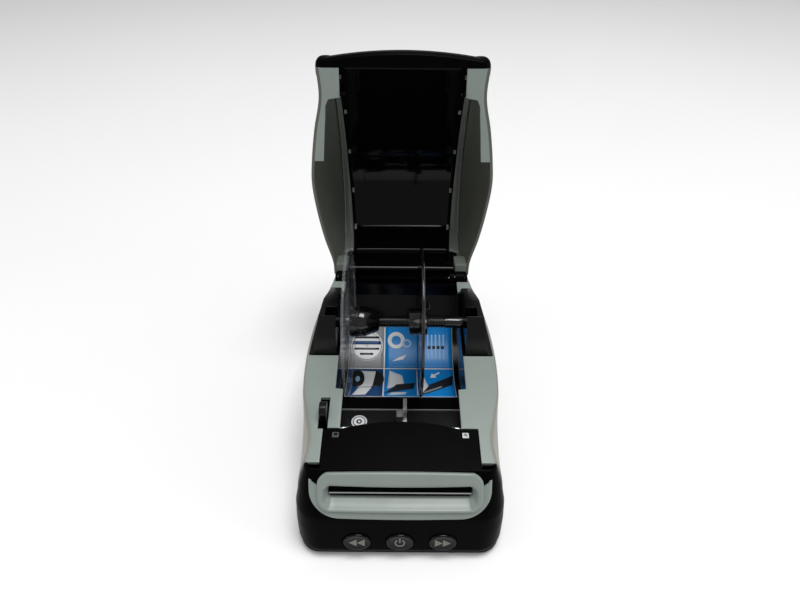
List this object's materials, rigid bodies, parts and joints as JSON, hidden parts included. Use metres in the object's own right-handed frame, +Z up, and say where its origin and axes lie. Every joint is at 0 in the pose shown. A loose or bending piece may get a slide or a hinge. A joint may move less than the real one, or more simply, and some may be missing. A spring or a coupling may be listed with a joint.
{
  "type": "label printer",
  "caption": "Desktop label printer with a hinged roll lid, lift-out label spool with sliding flange, front exit slot and control buttons.",
  "frame": {"origin": "on the surface the feet stand on, under the middle of the whole printer with its lid open", "axes": "+Z up, the label exit faces -Y, +X to the right seen from the front"},
  "size_m": [0.127, 0.2531, 0.2363],
  "materials": {
    "case_black": "fine-grained moulded ABS",
    "gloss_black": "polished",
    "deck_grey": "satin silver-grey moulding",
    "shell_grey": "satin warm grey moulding",
    "clear_plastic": "clear moulded styrene",
    "steel": "zinc-plated",
    "chrome": "polished",
    "rubber": "matt",
    "board_green": "solder mask",
    "ceramic_white": "glazed substrate",
    "gear_white": "natural acetal",
    "sticker_print": "printed film",
    "spring_steel": "bright wire"
  },
  "bodies": {
    "base": {"base_tray": "case_black", "board_capacitors": "case_black", "button_board": "board_green", "button_switches": "steel", "case_screws": "steel", "chassis_plates": "steel", "cradle_left": "case_black", "cradle_right": "case_black", "exit_bezel": "deck_grey", "feed_bed": "steel", "front_cover": "case_black", "front_nose": "case_black", "guide_rail": "steel", "head_springs": "spring_steel", "hinge_brackets": "case_black", "hinge_pins": "steel", "idler_axle": "steel", "instruction_sticker": "sticker_print", "label_sensor": "case_black", "latch_sockets": "steel", "main_board": "board_green", "power_jack": "case_black", "rear_deck": "deck_grey", "rear_panel": "case_black", "roll_well": "gloss_black", "rubber_feet": "rubber", "side_deck_left": "deck_grey", "side_deck_right": "deck_grey", "side_shell_left": "shell_grey", "side_shell_right": "shell_grey", "stepper_motor": "steel", "tear_bar": "steel", "usb_socket": "steel"},
    "lid": {"lid_roof": "gloss_black", "lid_wing_left": "shell_grey", "lid_wing_right": "shell_grey", "lid_liner": "gloss_black", "lid_front_cap": "case_black", "lid_edge_strips": "deck_grey", "liner_clips": "deck_grey", "lid_hinge_barrels": "case_black", "lid_latch_hooks": "case_black"},
    "spool": {"spool_spindle": "gloss_black", "spool_hub": "gloss_black", "spool_flange_left": "clear_plastic"},
    "guide_flange": {"spool_flange_right": "gloss_black"},
    "label_guide_slider": {"label_guide": "chrome"},
    "release": {"release_lever": "case_black", "lever_shaft": "steel"},
    "print_head": {"head_bracket": "steel", "head_pivot_rod": "steel", "thermal_head": "ceramic_white"},
    "platen": {"platen_shaft": "steel", "platen_rubber": "rubber", "platen_gear": "gear_white"},
    "idler": {"idler_gear": "gear_white"},
    "motor_rotor": {"motor_pinion": "gear_white"},
    "button_back": {"feed_back_button": "case_black"},
    "button_power": {"power_button": "case_black"},
    "button_forward": {"feed_forward_button": "case_black"}
  },
  "joints": [
    {"name": "lid_hinge", "type": "hinge", "parent": "base", "child": "lid", "pos_m": [0, 0.0472, 0.08505], "axis": [-1, 0, 0], "range_deg": [-106.2, 0]},
    {"name": "spool_spin", "type": "hinge", "parent": "base", "child": "spool", "pos_m": [0, -0.0094, 0.0887], "axis": [1, 0, 0], "continuous": true},
    {"name": "guide_flange_slide", "type": "slide", "parent": "spool", "child": "guide_flange", "axis": [1, 0, 0], "range_m": [-0.019, 0.02]},
    {"name": "label_guide_slide", "type": "slide", "parent": "base", "child": "label_guide_slider", "axis": [1, 0, 0], "range_m": [-0.0055, 0.029]},
    {"name": "release_lever_turn", "type": "hinge", "parent": "base", "child": "release", "pos_m": [0, -0.0705, 0.052], "axis": [1, 0, 0], "range_deg": [0, 10], "stiffness_Nm_per_rad": 0.05, "springref_deg": -20.05},
    {"name": "print_head_lift", "type": "hinge", "parent": "base", "child": "print_head", "pos_m": [0, -0.077, 0.0545], "axis": [-1, 0, 0], "range_deg": [0, 3], "deforming": ["head_springs"]},
    {"name": "platen_spin", "type": "hinge", "parent": "base", "child": "platen", "pos_m": [0, -0.095, 0.04], "axis": [1, 0, 0], "continuous": true},
    {"name": "idler_spin", "type": "hinge", "parent": "base", "child": "idler", "pos_m": [0, -0.07628, 0.03575], "axis": [1, 0, 0], "continuous": true},
    {"name": "motor_spin", "type": "hinge", "parent": "base", "child": "motor_rotor", "pos_m": [0, -0.069, 0.0215], "axis": [1, 0, 0], "continuous": true},
    {"name": "feed_back_press", "type": "slide", "parent": "base", "child": "button_back", "axis": [0, 0.9783, -0.207], "range_m": [0, 0.0012], "stiffness_N_per_m": 400, "springref_m": -0.002},
    {"name": "power_press", "type": "slide", "parent": "base", "child": "button_power", "axis": [0, 0.9783, -0.207], "range_m": [0, 0.0012], "stiffness_N_per_m": 400, "springref_m": -0.002},
    {"name": "feed_forward_press", "type": "slide", "parent": "base", "child": "button_forward", "axis": [0, 0.9783, -0.207], "range_m": [0, 0.0012], "stiffness_N_per_m": 400, "springref_m": -0.002}
  ],
  "couplings": [
    {"joint": "idler_spin", "follows": "platen_spin", "ratio": -0.71429},
    {"joint": "motor_spin", "follows": "platen_spin", "ratio": 1.6667},
    {"joint": "print_head_lift", "follows": "release_lever_turn", "ratio": 0.3}
  ]
}
